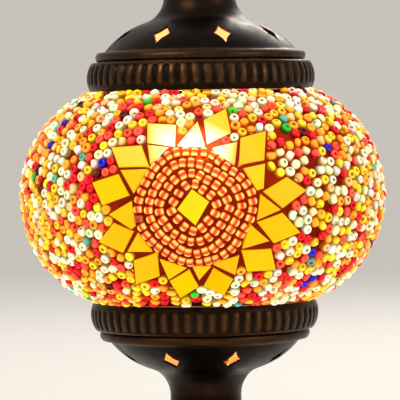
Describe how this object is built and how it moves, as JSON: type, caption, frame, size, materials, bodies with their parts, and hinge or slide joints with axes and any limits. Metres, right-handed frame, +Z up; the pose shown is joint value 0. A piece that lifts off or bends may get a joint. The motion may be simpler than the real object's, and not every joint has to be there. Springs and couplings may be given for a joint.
{
  "type": "mosaic glass table lamp",
  "caption": "Table lamp with a bead and tile mosaic globe held between pierced, fluted brass fittings on a turned stem and a weighted foot; the cap lifts off and the bulb unscrews.",
  "frame": {"origin": "centre of the underside of the foot's felt, on the table", "axes": "+Z up the lamp's axis to the finial's tip; -Y is the front, the middle of the front medallion; +X is to the right seen from the front; the cord inlet is at the back, +Y"},
  "size_m": [0.131, 0.131, 0.3106],
  "materials": {
    "felt": "felt",
    "aged_brass": "dark antique patina, rubbed lighter on the high edges",
    "zinc_steel": "zinc plated",
    "ballast": "rough cast",
    "phenolic": "moulded black",
    "gasket": "matt",
    "blown_glass": "frosted inside",
    "grout": "plaster bed, lit red-brown from behind",
    "yellow_glass": "cut stained glass, polished",
    "coil_beads": "silver-lined seed beads",
    "mixed_beads": "mixed seed beads, mostly cream, clear, yellow, orange and red",
    "steatite": "unglazed",
    "bright_brass": "bright",
    "bulb_glass": "clear",
    "filament": "phosphor-coated LED strips, lit",
    "nickel": "nickel plated"
  },
  "bodies": {
    "lamp": {"felt_pad": "felt", "base_plate": "zinc_steel", "ballast_ring": "ballast", "foot_shell": "aged_brass", "cord_bushing": "phenolic", "base_washer": "zinc_steel", "base_nut": "zinc_steel", "threaded_rod": "zinc_steel", "lower_collar": "aged_brass", "stem_vase": "aged_brass", "upper_collar": "aged_brass", "gallery_shell": "aged_brass", "gallery_washer": "zinc_steel", "gallery_nut": "zinc_steel", "gallery_seat_ring": "aged_brass", "lower_gasket": "gasket", "holder_base": "phenolic", "holder_grub_screw": "zinc_steel", "holder_skirt": "phenolic", "holder_core": "steatite", "holder_terminal_screws": "bright_brass", "holder_thread_sleeve": "bright_brass", "holder_contact": "bright_brass"},
    "globe": {"globe_glass": "blown_glass", "grout_coat": "grout", "centre_tiles": "yellow_glass", "square_tiles": "yellow_glass", "triangle_tiles": "yellow_glass", "coiled_beads": "coil_beads", "field_beads": "mixed_beads", "upper_gasket": "gasket"},
    "cap": {"cap_shell": "aged_brass", "cap_seat_ring": "aged_brass", "cap_spring_clips": "zinc_steel", "clip_rivets": "zinc_steel", "cap_washer": "zinc_steel", "cap_nut": "zinc_steel", "cap_nipple": "zinc_steel", "finial_collar": "aged_brass", "finial": "aged_brass"},
    "bulb_foot": {"bulb_insulator": "phenolic", "bulb_contact": "nickel"},
    "bulb": {"bulb_glass": "bulb_glass", "bulb_stem": "bulb_glass", "bulb_filaments": "filament", "bulb_screw_cap": "nickel"}
  },
  "joints": [
    {"name": "globe_lift", "type": "slide", "parent": "lamp", "child": "globe", "axis": [0, 0, 1], "range_m": [0, 0.16]},
    {"name": "cap_lift", "type": "slide", "parent": "globe", "child": "cap", "axis": [0, 0, 1], "range_m": [0, 0.12]},
    {"name": "bulb_rise", "type": "slide", "parent": "lamp", "child": "bulb_foot", "axis": [0, 0, 1], "range_m": [0, 0.00986]},
    {"name": "bulb_turn", "type": "hinge", "parent": "bulb_foot", "child": "bulb", "pos_m": [0, 0, 0.1218], "axis": [0, 0, 1], "range_deg": [0, 1260]}
  ],
  "couplings": [
    {"joint": "bulb_turn", "follows": "bulb_rise", "rad_per_m": 2228.1}
  ]
}
